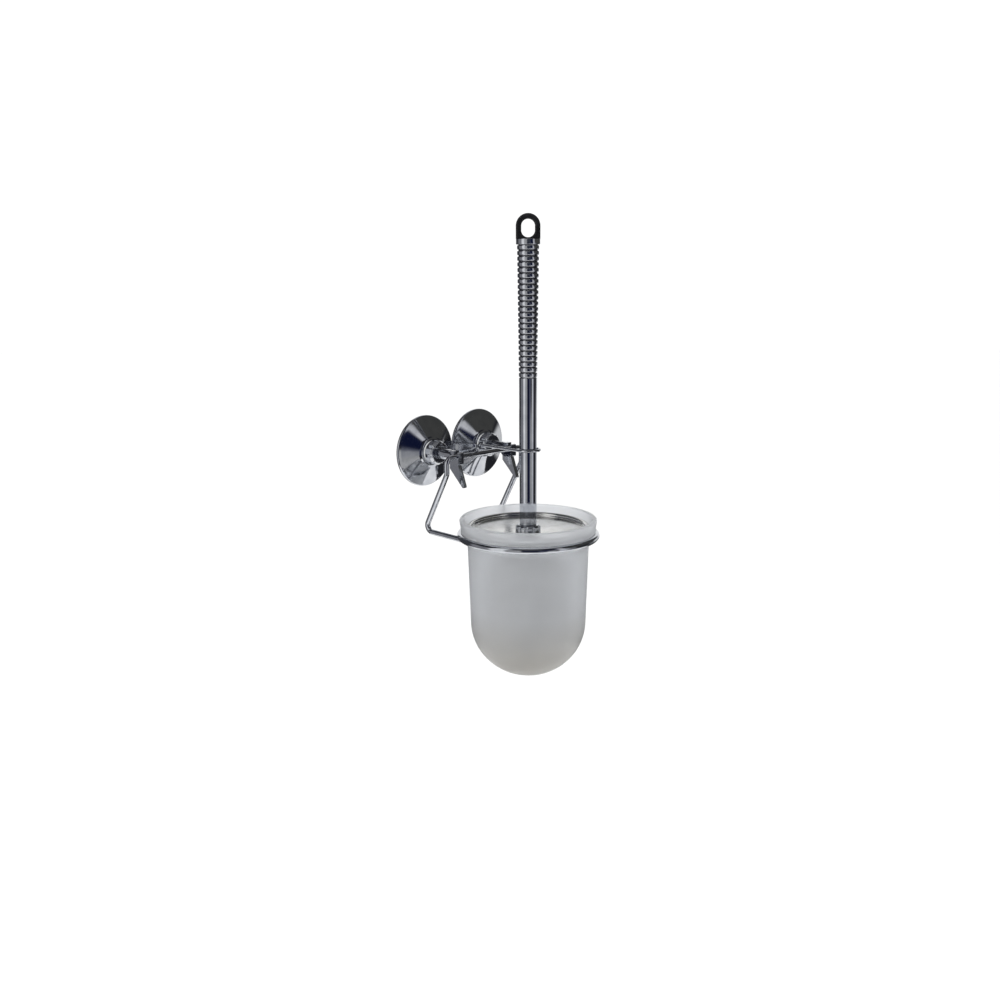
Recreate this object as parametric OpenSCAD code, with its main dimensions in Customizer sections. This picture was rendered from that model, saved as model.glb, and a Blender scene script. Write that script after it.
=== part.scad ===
// Wall-mounted toilet brush holder: two suction hooks carry a bent wire frame, the frame's ring
// carries a frosted glass cup, and the brush stands in the cup with its handle in a guide hook.
// Frame: the wall is the plane y = 0, the room is towards -Y, +X runs along the wall, +Z is up.
// The origin lies on the wall, midway between the two suction hooks, at the height of their axes.

/* [Layout] */
// Distance between the axes of the two suction hooks
hook_spacing = 57; // [57:0.5:64]
// Distance from the wall to the axis of the cup and brush
cup_out = 88.8; // [88.8:0.2:96]
// Height of the hook axes above the rim of the cup
rim_drop = 45.5; // [45:0.5:52]

/* [Suction hooks] */
// Diameter of the bell cover's flange
cover_d = 56.4; // [50:0.2:56.6]
// Height of the bell cover's nut seat above the wall
seat_out = 11.5; // [11:0.5:13]
// Sheet thickness of the bell cover
cover_t = 1.2; // [0.8:0.1:1.4]
// Diameter of the stud
stud_d = 6; // [5:0.5:6]
// Diameter of the tension nut
nut_d = 19; // [17:0.2:19]
// Length of the tension nut
nut_h = 8.5; // [7:0.1:9]
// Number of finger notches around the tension nut
nut_notches = 8; // [6:1:10]
// Width of the hook's saddle
hook_w = 5.4; // [4.6:0.2:8]
// Thickness of the hook's gusset
tail_w = 3.4; // [2.6:0.2:3.4]

/* [Wire frame] */
// Diameter of the frame's wire
wire_d = 4.2; // [4:0.1:4.6]
// Diameter of the carrier ring's wire
ring_wire_d = 5; // [4.6:0.1:5.2]
// Distance from the wall to the cross bar
bar_out = 41.6; // [41.4:0.1:42]
// Depth of the cross bar below the hook axes
bar_drop = 0.6; // [0.4:0.1:2]
// Half of the cross bar's length, to the middle of its corners
bar_half = 40.4; // [39:0.2:43]
// Half of the distance between the feet of the two legs
foot_half = 40.2; // [38:0.2:41]
// Distance from the wall to the feet of the legs
foot_out = 14.2; // [12:0.2:20]
// Depth of the feet below the hook axes
foot_drop = 61; // [60.6:0.1:61.6]
// Radius of the carrier ring, to the middle of its wire
ring_r = 52; // [51.8:0.1:52.4]
// Depth of the carrier ring below the rim of the cup
ring_below_rim = 13; // [12.8:0.1:13.4]
// Diameter of the guide's wire
guide_wire_d = 2; // [1.8:0.1:3]
// Radius of the guide's hook, to the middle of its wire
guide_r = 8.7; // [8.6:0.1:9]
// Height of the guide above the hook axes
guide_up = 7; // [6:0.5:12]

/* [Glass cup] */
// Outer diameter of the cup's rim
rim_d = 105; // [103:0.5:106]
// Height of the cup
cup_h = 124.5; // [122:0.5:130]
// Wall thickness of the glass
glass_t = 3.5; // [3:0.1:4]

/* [Brush] */
// Length of the grip with its collar
grip_len = 100; // [80:1:110]
// Number of ribs on the grip
ribs = 24; // [18:1:26]
// Diameter of the grip at its top
grip_top_d = 16.4; // [15:0.1:17]
// Diameter of the tube at its top
tube_top_d = 13.6; // [13.4:0.1:13.8]
// Diameter of the tube at its foot
tube_foot_d = 13; // [12.8:0.1:13.3]
// Outer diameter of the lid
lid_d = 94.6; // [92:0.2:95]
// Diameter over the bristles
bristle_d = 72; // [60:1:74]
// Turn of the brush about its axis, which sets the way the hanging eye faces
brush_turn = -45; // [-90:5:90]

/* [Hidden] */
$fn = 96;
FIT = 0.05;             // radial play of a running fit
GAP = 0.3;              // play between curved faces of different bodies
CUT = 1;                // overrun of a cutting solid
SOCKET = 0.3;           // how far a straight stretch of wire reaches into its bend
RELIEF = 0.02;          // how much thinner the straight stretch is, so that it seats in the bend
hook_x = hook_spacing / 2;
wire_r = wire_d / 2;
cover_r = cover_d / 2;
stud_r = stud_d / 2;
disc_out = 4.4;         // the stud's anchor disc, measured from the wall
disc_r = 6;
disc_t = 1.8;
washer_t = 0.8;
nut_out = seat_out + washer_t + FIT;
hook_start = nut_out + nut_h + FIT;

// wire frame
ring_z = -rim_drop - ring_below_rim;
bend_r = 5;             // bend radius of the frame's wire
leg_top_z = -bar_drop - 12.4;
arm_end = [foot_half - 0.8, -cup_out + 33.4, ring_z - 3.2];

// glass cup, heights measured down from the rim
rim_r = rim_d / 2;
collar_h = 9;
shoulder_r = ring_wire_d / 2 + GAP;
body_r = rim_r - 6.1;
foot_r = body_r - 1.8;
straight_h = cup_h - 42.5;
round_h = cup_h - straight_h;

// brush, heights measured from the hook axes
lid_z = -rim_drop - 11;
tube_foot_z = lid_z + 5.8;
grip_z = tube_foot_z + 112;
loop_z = grip_z + grip_len;
collar_len = 4;         // plain collar at the top of the grip
rib_pitch = (grip_len - collar_len) / ribs;
tube_bore_r = 5.75;
rod_r = 2.5;
ferrule_r = 9.6;
ferrule_lobes = 10;
core_top_z = lid_z - 6.8;
core_r = 8;
bristle_r = bristle_d / 2;
bristle_top_z = -rim_drop - 30;
bristle_turn_z = -rim_drop - 92;
bristle_end_z = -rim_drop - 113;
loop_w = 17.9;
loop_t = 5;
eye_w = 9.8;

// ---- helpers ----

// Points of an arc about (cx, cy), from angle a0 to a1 in n steps.
function arc(cx, cy, r, a0, a1, n = 8) =
    [for (i = [0:n]) let (a = a0 + (a1 - a0) * i / n) [cx + r * cos(a), cy + r * sin(a)]];

// Points of a quarter ellipse from (rx, z0) down to the axis at z0 - rz, without its last point.
function bowl(rx, rz, z0, n = 16) =
    [for (i = [0:n - 1]) let (a = 90 * i / n) [rx * cos(a), z0 - rz * sin(a)]];

function unit(v) = v / norm(v);

// Stands a profile drawn as (radius, distance from the wall) on a hook's axis.
module turned(side) {
    translate([side * hook_x, 0, 0]) rotate([90, 0, 0]) rotate_extrude() children();
}

// Plate of width w in the middle plane of a hook, drawn as (y, z).
module side_plate(side, w, outline) {
    translate([side * hook_x - w / 2, 0, 0]) rotate([90, 0, 90]) linear_extrude(w) polygon(outline);
}

// Cylinder from point a to point b.
module rod(a, b, r) {
    v = b - a;
    translate(a) rotate([0, acos(v[2] / norm(v)), atan2(v[1], v[0])]) cylinder(h = norm(v), r = r);
}

// Bent corner of a wire at point p, between the points a before it and b after it.
module bend(a, p, b, radius, r) {
    u = unit(a - p);
    w = unit(b - p);
    half = acos(u * w) / 2;
    mid = unit(u + w);
    centre = p + mid * radius / sin(half);
    turn = 180 - 2 * half;
    n = unit(cross(w, u));
    e1 = unit((p + u * radius / tan(half)) - centre);
    e2 = cross(n, e1);
    multmatrix([[e1[0], e2[0], n[0], centre[0]],
                [e1[1], e2[1], n[1], centre[1]],
                [e1[2], e2[2], n[2], centre[2]],
                [0, 0, 0, 1]])
        rotate_extrude(angle = turn) translate([radius, 0]) circle(r = r, $fn = 32);
}

// Distance from a corner to the start of its bend.
function trim(a, p, b, radius) = radius / tan(acos(unit(a - p) * unit(b - p)) / 2);

// Wire along the points p, with every inner corner bent to the same radius.
module bent_wire(p, radius, r) {
    last = len(p) - 1;
    for (i = [0:last - 1]) {
        v = unit(p[i + 1] - p[i]);
        start = i == 0 ? 0 : trim(p[i - 1], p[i], p[i + 1], radius) - SOCKET;
        stop = i == last - 1 ? 0 : trim(p[i], p[i + 1], p[i + 2], radius) - SOCKET;
        rod(p[i] + v * start, p[i + 1] - v * stop, r - RELIEF);
    }
    for (i = [1:last - 1])
        bend(p[i - 1], p[i], p[i + 1], radius, r);
}

// Places a shape on the axis of the cup and brush.
module on_cup_axis() {
    translate([0, -cup_out, 0]) children();
}

// Turned shape about the cup's axis, drawn as (radius, height).
module cup_turned() {
    on_cup_axis() rotate_extrude() children();
}

// ---- suction hooks ----

// Soft cup: a lip that lies on the wall, a shallow dish behind it and a boss for the stud.
module suction_cup(side) {
    lip_r = cover_r - 0.8;
    dish_r = 19.5;
    dish_deep = 3.2;
    boss_out = seat_out - cover_t - 0.8;
    color([0.86, 0.89, 0.92, 0.6]) difference() {
        turned(side) polygon(concat(
            [for (i = [0:8]) let (t = i / 8) [dish_r * t, dish_deep * (1 - t * t)]],
            [[lip_r, 0], [lip_r, 0.7], [cover_r - 2.8, 1.3], [9, boss_out - 1.6], [8, boss_out],
                [0, boss_out]]));
        turned(side) polygon([[0, disc_out - FIT], [disc_r + FIT, disc_out - FIT],
            [disc_r + FIT, disc_out + disc_t + FIT], [stud_r + FIT, disc_out + disc_t + FIT],
            [stud_r + FIT, boss_out + CUT], [0, boss_out + CUT]]);
    }
}

// Stud: a disc moulded into the soft cup and a shank that reaches into the hook.
module stud(side) {
    color("silver") turned(side) polygon([[0, disc_out], [disc_r, disc_out],
        [disc_r, disc_out + disc_t], [stud_r, disc_out + disc_t],
        [stud_r, hook_start + 7], [stud_r - 0.6, hook_start + 7.6], [0, hook_start + 7.6]]);
}

// Bell cover: a flange, a long cone and a flat seat for the nut, pressed from one sheet.
module bell_cover(side) {
    flange_r = cover_r - 2;
    seat_r = 11;
    color("gainsboro") turned(side) polygon([
        [cover_r, 0.9], [cover_r, 2.6], [cover_r - 0.5, 3.2], [flange_r, 3.8],
        [12.2, seat_out - 1.2], [seat_r, seat_out - 0.3], [seat_r - 0.9, seat_out],
        [stud_r + 0.3, seat_out],
        [stud_r + 0.3, seat_out - cover_t], [seat_r - 1.4, seat_out - cover_t],
        [12.2 - 0.8, seat_out - 1.2 - cover_t], [flange_r - 0.6, 2.4], [cover_r - cover_t, 1.8],
        [cover_r - cover_t, 0.9]]);
}

// Thin slip washer between the bell cover and the nut.
module washer(side) {
    color("white") turned(side) polygon([[stud_r + 0.2, seat_out], [nut_d / 2 - 0.8, seat_out],
        [nut_d / 2 - 0.8, seat_out + washer_t], [stud_r + 0.2, seat_out + washer_t]]);
}

// Tension nut: turning it draws the stud out and pulls the soft cup onto the wall.
module tension_nut(side) {
    r = nut_d / 2;
    color("silver") difference() {
        turned(side) polygon([[stud_r + FIT, nut_out], [r - 0.8, nut_out], [r, nut_out + 0.8],
            [r, nut_out + nut_h - 2], [r - 1.6, nut_out + nut_h], [stud_r + FIT, nut_out + nut_h]]);
        for (i = [0:nut_notches - 1])
            translate([side * hook_x, 0, 0]) rotate([0, 360 * i / nut_notches + 11, 0])
                translate([r + 0.9, -nut_out - 1.6, 0])
                    rotate([90, 0, 0]) cylinder(r = 1.9, h = nut_h, $fn = 24);
    }
}

// Hook: a slim neck on the stud, an open saddle for the cross bar and a pointed gusset below it.
module hook(side) {
    slot_w = wire_d + 2 * FIT;
    back = 33;
    front = bar_out + slot_w / 2 + 1.1;
    tip_out = 49.2;
    tip_z = -24;
    color("silver") difference() {
        union() {
            turned(side) polygon([[0, hook_start], [4.6, hook_start], [3.9, back + 3], [0, back + 3]]);
            side_plate(side, hook_w, [[-back, 3], [-back - 2, 4], [-front + 3, 4], [-front, 2.6],
                [-front, -6], [-front + 1, -7], [-back - 2, -7], [-back, -5]]);
            side_plate(side, tail_w, [[-back - 0.6, -4], [-front + 2.4, -5], [-tip_out, tip_z + 1],
                [-tip_out + 0.6, tip_z], [-tip_out + 1.6, tip_z + 0.4], [-back - 0.6, -10.4]]);
        }
        translate([side * hook_x - hook_w, -bar_out - slot_w / 2, -bar_drop])
            cube([2 * hook_w, slot_w, 20]);
        translate([side * hook_x - hook_w, -bar_out, -bar_drop]) rotate([0, 90, 0])
            cylinder(h = 2 * hook_w, r = slot_w / 2);
        turned(side) polygon([[0, hook_start - CUT], [stud_r + FIT, hook_start - CUT],
            [stud_r + FIT, hook_start + 8], [0, hook_start + 8]]);
    }
}

// ---- wire frame ----

// One wire: cross bar, two legs that lean back to the wall, and two arms forward under the ring.
module hanger_wire() {
    side_path = [[bar_half, -bar_out, -bar_drop], [bar_half, -bar_out, leg_top_z],
        [foot_half, -foot_out, -foot_drop], arm_end];
    mirrored = [for (p = side_path) [-p[0], p[1], p[2]]];
    color("silver") bent_wire(concat(
        [for (i = [3:-1:0]) mirrored[i]], side_path), bend_r, wire_r);
}

// Ring that the collar of the cup hangs in.
module carrier_ring() {
    color("silver") on_cup_axis() translate([0, 0, ring_z])
        rotate_extrude() translate([ring_r, 0]) circle(d = ring_wire_d, $fn = 32);
}

// Thin wire that stands on the cross bar and hooks around the front of the handle.
module handle_guide() {
    r = guide_wire_d / 2;
    color("silver") union() {
        bent_wire([[-guide_r, -bar_out, -bar_drop], [-guide_r, -bar_out, guide_up],
            [-guide_r, -cup_out - SOCKET, guide_up]], 4, r);
        on_cup_axis() translate([0, 0, guide_up]) rotate([0, 0, 180])
            rotate_extrude(angle = 180) translate([guide_r, 0]) circle(r = r, $fn = 32);
        rod([guide_r, -cup_out - SOCKET, guide_up], [guide_r, -cup_out + 4, guide_up], r - RELIEF);
    }
}

// ---- glass cup ----

// Frosted glass: collar, shoulder that rests on the ring, tapered body and rounded bottom.
module glass_cup() {
    z = -rim_drop;
    t = glass_t;
    edge = t / 2;
    outer = concat(
        [[rim_r - 1.1, z - collar_h]],
        arc(ring_r, z - ring_below_rim, shoulder_r, 100, 185, 8),
        [[body_r + 1, z - 17], [body_r, z - 21], [foot_r, z - straight_h]],
        [for (p = bowl(foot_r, round_h, z - straight_h)) p]);
    inner = concat(
        [for (p = bowl(foot_r - t, round_h - t, z - straight_h)) p],
        [[0, z - cup_h + t]]);
    color([0.82, 0.84, 0.86, 0.8]) cup_turned() polygon(concat(
        arc(rim_r - edge, z - edge, edge, 180, 0, 8),
        outer,
        [[0, z - cup_h]],
        [for (i = [len(inner) - 1:-1:0]) inner[i]],
        [[body_r - t, z - 22.4], [body_r - t + 0.8, z - 19.4]],
        arc(ring_r, z - ring_below_rim, shoulder_r + t, 178, 122, 6),
        [[rim_r - t - 0.4, z - collar_h + 1]]));
}

// ---- brush ----

// Black end cap with the eye that the brush can be hung up by.
module hanging_loop() {
    r = loop_w / 2;
    top = 18.1 - r;
    eye_foot = 1.15 + eye_w / 2;
    color("black") on_cup_axis() rotate([0, 0, brush_turn]) union() {
        difference() {
            translate([0, loop_t / 2, loop_z]) rotate([90, 0, 0]) linear_extrude(loop_t) union() {
                translate([0, top]) circle(r = r);
                translate([-r, 0]) square([loop_w, top]);
            }
            translate([0, loop_t, loop_z]) rotate([90, 0, 0]) linear_extrude(2 * loop_t) union() {
                translate([0, top]) circle(d = eye_w, $fn = 48);
                translate([0, eye_foot]) circle(d = eye_w, $fn = 48);
                translate([-eye_w / 2, eye_foot]) square([eye_w, top - eye_foot]);
            }
        }
        translate([0, 0, loop_z - 11.5]) cylinder(r = 4 - FIT, h = 12);
    }
}

// Grip: rounded rings on a tapered core below a plain collar, with a spigot into the tube.
module grip() {
    top_r = grip_top_d / 2;
    foot_rib_r = tube_top_d / 2 + 0.15;
    rib_r = rib_pitch * 0.36;
    groove = 1.1;
    collar_r = loop_w / 2;
    collar_z = loop_z - collar_len;
    color("dimgray") on_cup_axis() difference() {
        rotate_extrude() polygon(concat(
            [[0, grip_z - 12], [tube_bore_r - 0.02, grip_z - 12], [tube_bore_r - 0.02, grip_z],
                [foot_rib_r - groove, grip_z]],
            [for (i = [0:ribs - 1]) let (
                    z = grip_z + (i + 0.5) * rib_pitch,
                    r = foot_rib_r + (top_r - foot_rib_r) * (i + 0.5) / ribs)
                each [[r - groove, z - rib_r], [r - 0.35, z - rib_r * 0.8], [r, z - rib_r * 0.3],
                    [r, z + rib_r * 0.3], [r - 0.35, z + rib_r * 0.8], [r - groove, z + rib_r]]],
            [[top_r - groove, collar_z], [collar_r - 0.3, collar_z], [collar_r, collar_z + 0.3],
                [collar_r, loop_z - 0.3], [collar_r - 0.3, loop_z], [0, loop_z]]));
        translate([0, 0, loop_z - 12]) cylinder(r = 4, h = 12 + CUT);
    }
}

// Chromed steel tube of the handle.
module handle_tube() {
    color("silver") on_cup_axis() difference() {
        translate([0, 0, tube_foot_z])
            cylinder(h = grip_z - tube_foot_z, r1 = tube_foot_d / 2, r2 = tube_top_d / 2);
        translate([0, 0, tube_foot_z - CUT])
            cylinder(h = grip_z - tube_foot_z + 2 * CUT, r = tube_bore_r);
    }
}

// Plug in the foot of the tube, with the thread for the rod.
module foot_plug() {
    color("ivory") cup_turned() polygon([[rod_r + 0.02, tube_foot_z], [tube_bore_r - 0.02, tube_foot_z],
        [tube_bore_r - 0.02, tube_foot_z + 24], [rod_r + 0.02, tube_foot_z + 24]]);
}

// Rod that ties the tube, the ferrule, the lid and the brush core together.
module threaded_rod() {
    color("silver") cup_turned() polygon([[0, core_top_z - 18], [rod_r, core_top_z - 18],
        [rod_r, tube_foot_z + 21.5], [rod_r - 0.5, tube_foot_z + 22], [0, tube_foot_z + 22]]);
}

// Lobed ferrule between the tube and the lid.
module ferrule() {
    h = tube_foot_z - lid_z - 0.7;
    color("silver") on_cup_axis() translate([0, 0, lid_z + 0.7]) difference() {
        rotate_extrude() polygon([[rod_r + 0.1, 0], [ferrule_r, 0], [ferrule_r, h - 1.4],
            [ferrule_r - 1.4, h], [rod_r + 0.1, h]]);
        for (i = [0:ferrule_lobes - 1])
            rotate([0, 0, 360 * i / ferrule_lobes]) translate([ferrule_r + 1.2, 0, -CUT])
                cylinder(r = 2, h = h + 2 * CUT, $fn = 24);
    }
}

// Dished lid with a raised, rolled lip; it rests on the inner shoulder of the cup.
module lid() {
    r = lid_d / 2;
    t = 0.7;
    lip_r = 1.9;
    lip_z = lid_z + 3.6;
    dish = [for (i = [0:8]) let (s = i / 8) [10 + (r - 14.4) * s, lid_z + 1.6 * s * s]];
    dish_under = [for (i = [8:-1:0]) [dish[i][0], dish[i][1]]];
    color("whitesmoke") cup_turned() polygon(concat(
        [[rod_r + 0.1, lid_z], [10, lid_z]],
        dish,
        [[r - 3.9, lid_z + 2.3]],
        arc(r - lip_r, lip_z, lip_r - t, 180, -20, 8),
        arc(r - lip_r, lip_z, lip_r, -20, 180, 10),
        [[r - 4.5, lid_z + 2.7]],
        [for (p = dish_under) [p[0], p[1] + t]],
        [[rod_r + 0.1, lid_z + t]]));
}

// Hexagon nut that clamps the lid from below.
module lid_nut() {
    color("silver") on_cup_axis() translate([0, 0, lid_z - 4.6]) difference() {
        cylinder(d = 9.2, h = 4.4, $fn = 6);
        translate([0, 0, -CUT]) cylinder(r = rod_r + 0.03, h = 4.4 + 2 * CUT);
    }
}

// Plastic core that the bristle tufts are set in.
module brush_core() {
    color("white") cup_turned() polygon([[rod_r + 0.03, core_top_z], [core_r - 1.5, core_top_z],
        [core_r, core_top_z - 1.5], [core_r, bristle_end_z + 6], [rod_r + 0.03, bristle_end_z + 6]]);
}

// Outer shape of all the bristles together.
module bristles() {
    color("white") cup_turned() polygon(concat(
        [[core_r + 0.02, bristle_top_z], [bristle_r - 8, bristle_top_z],
            [bristle_r, bristle_top_z - 10]],
        bowl(bristle_r, bristle_turn_z - bristle_end_z, bristle_turn_z, 10),
        [[core_r + 0.02, bristle_end_z + 0.6]]));
}

// Rounded tip on the end of the brush core.
module core_tip() {
    color("white") on_cup_axis() translate([0, 0, bristle_end_z + 6]) difference() {
        sphere(r = core_r - 0.4);
        translate([-core_r, -core_r, -0.02]) cube([2 * core_r, 2 * core_r, core_r]);
    }
}

suction_cup(-1);  // suction_cup_left
suction_cup(1);  // suction_cup_right
stud(-1);  // stud_left
stud(1);  // stud_right
bell_cover(-1);  // bell_cover_left
bell_cover(1);  // bell_cover_right
washer(-1);  // washer_left
washer(1);  // washer_right
tension_nut(-1);  // tension_nut_left
tension_nut(1);  // tension_nut_right
hook(-1);  // hook_left
hook(1);  // hook_right
hanger_wire();
carrier_ring();
handle_guide();
glass_cup();
hanging_loop();
grip();
handle_tube();
foot_plug();
threaded_rod();
ferrule();
lid();
lid_nut();
brush_core();
bristles();
core_tip();
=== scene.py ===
"""Looks of the wall-mounted toilet brush holder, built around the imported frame.

Lengths are in metres; sizes written in millimetres are multiplied by MM. The wall is the plane
y = 0, the room is towards -Y, +X runs along the wall and +Z is up.
"""

import logging
import math
from collections.abc import Callable
from dataclasses import dataclass, replace
from enum import Enum

import bmesh
import bpy
import numpy as np
from mathutils import Euler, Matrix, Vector


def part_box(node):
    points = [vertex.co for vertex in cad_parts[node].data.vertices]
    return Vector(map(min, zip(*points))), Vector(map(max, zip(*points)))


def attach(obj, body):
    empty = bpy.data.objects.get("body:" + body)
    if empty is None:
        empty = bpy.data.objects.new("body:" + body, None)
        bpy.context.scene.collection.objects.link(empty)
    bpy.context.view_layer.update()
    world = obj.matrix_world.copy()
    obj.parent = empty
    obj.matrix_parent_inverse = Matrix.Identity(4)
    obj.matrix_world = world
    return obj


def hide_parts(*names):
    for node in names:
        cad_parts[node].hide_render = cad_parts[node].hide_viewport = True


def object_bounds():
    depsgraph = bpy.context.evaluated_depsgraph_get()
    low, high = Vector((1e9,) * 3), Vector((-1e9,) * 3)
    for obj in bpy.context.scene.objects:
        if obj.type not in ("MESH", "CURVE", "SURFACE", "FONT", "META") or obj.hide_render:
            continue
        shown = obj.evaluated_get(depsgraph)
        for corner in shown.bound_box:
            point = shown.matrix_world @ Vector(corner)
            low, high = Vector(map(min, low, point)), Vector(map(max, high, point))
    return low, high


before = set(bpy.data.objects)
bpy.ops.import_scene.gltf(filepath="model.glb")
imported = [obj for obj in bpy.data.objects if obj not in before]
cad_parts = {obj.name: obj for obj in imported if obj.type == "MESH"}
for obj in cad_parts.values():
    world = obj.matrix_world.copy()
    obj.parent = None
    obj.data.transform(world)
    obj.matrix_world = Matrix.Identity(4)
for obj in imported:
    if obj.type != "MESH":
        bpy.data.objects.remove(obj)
CAD_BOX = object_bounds()

LOG = logging.getLogger("brush_holder")
MM = 0.001
MERGE = 0.002 * MM          # vertices closer than this become one
LEAN = (0.62, 0.48, 0.62)    # direction that no stretch of the holder's wires runs along
Link = tuple[bpy.types.Node, str]
Cut = Callable[[np.ndarray, np.ndarray, np.ndarray], np.ndarray]


# ---- shapes ----

@dataclass(frozen=True)
class Axis:
    """Axis of a turned piece: where it starts, its direction, and the direction of angle zero."""

    origin: tuple[float, float, float]
    along: tuple[float, float, float]
    across: tuple[float, float, float]

    def place(self, radius: np.ndarray, height: np.ndarray, angle: np.ndarray) -> np.ndarray:
        """Points at origin + height * along + radius * (cos angle * across + sin angle * third).

        Args:
            radius: distances from the axis.
            height: distances along the axis.
            angle: angles about the axis, in radians.

        Returns:
            The points, with one more dimension than the arguments.
        """
        along, across = np.array(self.along), np.array(self.across)
        third = np.cross(along, across)
        spoke = np.cos(angle)[..., None] * across + np.sin(angle)[..., None] * third
        return np.array(self.origin) + height[..., None] * along + radius[..., None] * spoke


def wall_axis(x: float) -> Axis:
    """Axis that stands out from the wall at the given place along it."""
    return Axis((x, 0.0, 0.0), (0.0, -1.0, 0.0), (1.0, 0.0, 0.0))


def upright_axis(y: float, z: float = 0.0) -> Axis:
    """Upright axis in the holder's middle plane."""
    return Axis((0.0, y, z), (0.0, 0.0, 1.0), (1.0, 0.0, 0.0))


def arc(cx: float, cy: float, radius: float, start: float, stop: float, steps: int = 16) -> np.ndarray:
    """Points at centre + radius * (cos a, sin a), with a running between two angles in degrees."""
    a = np.radians(np.linspace(start, stop, steps + 1))
    return np.stack([cx + radius * np.cos(a), cy + radius * np.sin(a)], -1)


def fillet(points: np.ndarray, radius: float, steps: int = 5, closed: bool = False) -> np.ndarray:
    """Rounds the corners of an outline.

    Each corner P becomes the quadratic curve from P + c u to P + c w that leans on P, where u and w
    point to the neighbours and c is the radius, or just under half the shorter side.

    Args:
        points: corners, one per row.
        radius: how far from its corner a rounding starts.
        steps: pieces in each rounding.
        closed: whether the last corner joins the first.

    Returns:
        The rounded outline.
    """
    before, after = np.roll(points, 1, 0) - points, np.roll(points, -1, 0) - points
    la, lb = np.linalg.norm(before, axis=1), np.linalg.norm(after, axis=1)
    cut = np.minimum(radius, 0.49 * np.minimum(la, lb))[:, None]
    start = points + before / np.maximum(la, 1e-12)[:, None] * cut
    stop = points + after / np.maximum(lb, 1e-12)[:, None] * cut
    s = np.linspace(0, 1, steps + 1)[None, :, None]
    curve = (1 - s) ** 2 * start[:, None] + 2 * s * (1 - s) * points[:, None] + s ** 2 * stop[:, None]
    if closed:
        return curve.reshape(-1, points.shape[1])
    inner = curve[1:-1].reshape(-1, points.shape[1])
    return np.vstack([points[:1], inner, points[-1:]])


def turned(axis: Axis, profile: np.ndarray, segments: int = 128,
           cut: Cut | None = None) -> np.ndarray:
    """Grid of a turned piece: each profile point (radius, height) is carried round the axis.

    Args:
        axis: the axis to turn about.
        profile: rows of (radius, height).
        segments: steps round the axis.
        cut: optional function of (radius, height, angle) that returns the radius after cutting.

    Returns:
        Points of shape (profile, segments, 3).
    """
    angle = np.broadcast_to(np.linspace(0, 2 * math.pi, segments, endpoint=False), (len(profile), segments))
    radius = np.broadcast_to(profile[:, :1], angle.shape)
    height = np.broadcast_to(profile[:, 1:2], angle.shape)
    if cut is not None:
        radius = cut(radius, height, angle)
    return axis.place(radius, height, angle)


def swept(path: np.ndarray, radii: np.ndarray, sides: int = 28, closed: bool = False) -> np.ndarray:
    """Grid of a round wire: circles of the given radii, square to the path at each of its points.

    The circle at a point is spanned by side = tangent x LEAN and up = side x tangent. The end points
    of a capped wire are double, so the tangent there comes from the points further in.

    Args:
        path: points of the wire's middle line.
        radii: the wire's radius at each point.
        sides: points round the wire.
        closed: whether the path is a ring.

    Returns:
        Points of shape (path, sides, 3).
    """
    if closed:
        tangent = np.roll(path, -1, 0) - np.roll(path, 1, 0)
    else:
        tangent = np.gradient(path, axis=0)
        tangent[0], tangent[-1] = path[2] - path[0], path[-1] - path[-3]
    tangent = tangent / np.linalg.norm(tangent, axis=1)[:, None]
    side = np.cross(tangent, np.array(LEAN))
    side = side / np.linalg.norm(side, axis=1)[:, None]
    up = np.cross(side, tangent)
    a = np.linspace(0, 2 * math.pi, sides, endpoint=False)
    ring = np.cos(a)[None, :, None] * side[:, None] + np.sin(a)[None, :, None] * up[:, None]
    return path[:, None] + radii[:, None, None] * ring


def bent_path(corners: np.ndarray, radius: float, steps: int = 14) -> np.ndarray:
    """Path of a bent wire: straight stretches joined by round bends.

    Around a corner the arc is centre + slerp(start - centre, stop - centre).

    Args:
        corners: the ends and the corners of the wire, one per row.
        radius: bend radius of the middle line.
        steps: pieces in each bend.

    Returns:
        The path's points.
    """
    out = [corners[:1]]
    for a, p, b in zip(corners[:-2], corners[1:-1], corners[2:]):
        u, w = (a - p) / np.linalg.norm(a - p), (b - p) / np.linalg.norm(b - p)
        half = math.acos(float(u @ w)) / 2
        centre = p + (u + w) / np.linalg.norm(u + w) * radius / math.sin(half)
        start, stop = p + u * radius / math.tan(half) - centre, p + w * radius / math.tan(half) - centre
        sweep = math.pi - 2 * half
        s = np.linspace(0, 1, steps + 1)[:, None]
        out.append(centre + (np.sin((1 - s) * sweep) * start + np.sin(s * sweep) * stop) / math.sin(sweep))
    out.append(corners[-1:])
    return np.vstack(out)


def capped(path: np.ndarray, radius: float, bevel: float, steps: int = 5) -> tuple[np.ndarray, np.ndarray]:
    """Closes both ends of a wire with a bevelled face.

    Near an end the radius is radius - bevel (1 - cos a) at depth bevel (1 - sin a), with a from
    ninety degrees at the rim of the end face to zero, and the face itself closes in a point.

    Args:
        path: the wire's middle line.
        radius: the wire's radius.
        bevel: radius of the rounding between the wire and its end face.
        steps: pieces in the rounding.

    Returns:
        The longer path and the radius at each of its points.
    """
    a = np.radians(np.linspace(90, 0, steps + 1))
    depth = np.concatenate([[0.0], bevel * (1 - np.sin(a))])
    size = np.concatenate([[0.0], radius - bevel * (1 - np.cos(a))])
    head = path[0] + (path[1] - path[0]) / np.linalg.norm(path[1] - path[0]) * depth[:, None]
    tail = path[-1] + (path[-2] - path[-1]) / np.linalg.norm(path[-2] - path[-1]) * depth[::-1, None]
    return (np.vstack([head, path[1:-1], tail]),
            np.concatenate([size, np.full(len(path) - 2, radius), size[::-1]]))


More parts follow.
